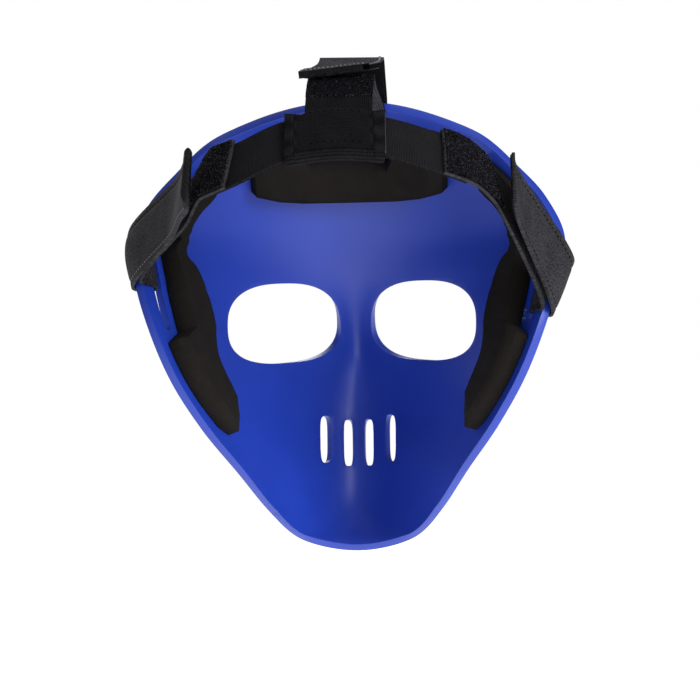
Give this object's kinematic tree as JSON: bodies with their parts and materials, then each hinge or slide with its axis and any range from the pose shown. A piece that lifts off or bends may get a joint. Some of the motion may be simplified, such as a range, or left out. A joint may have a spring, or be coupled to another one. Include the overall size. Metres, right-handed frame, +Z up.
{
  "type": "field hockey face mask",
  "caption": "Moulded blue face guard with eye openings and mouth vents, foam pads inside and a dark elastic and hook-and-loop strap harness round the back and crown.",
  "frame": {"origin": "middle of the hollow the mask closes around, between its cheeks and level with the eye openings", "axes": "+X to the wearer's left, -Y out through the front of the mask, +Z up"},
  "size_m": [0.2204, 0.2214, 0.2516],
  "materials": {
    "shell": "satin moulded",
    "foam": "matt closed-cell foam",
    "elastic": "ribbed elastic",
    "webbing": "woven",
    "loop": "fuzzy pile",
    "hook": "rows of hooks"
  },
  "bodies": {
    "root": {"shell": "shell", "forehead_pad": "foam", "side_pad_left": "foam", "side_pad_right": "foam", "elastic_band": "elastic", "band_sleeve": "webbing", "side_strap_left": "webbing", "loop_patch_left": "loop", "hook_patch_left": "hook", "side_strap_right": "webbing", "loop_patch_right": "loop", "hook_patch_right": "hook", "top_strap": "webbing", "top_loop_patch": "loop", "top_hook_patch": "hook"}
  },
  "joints": []
}
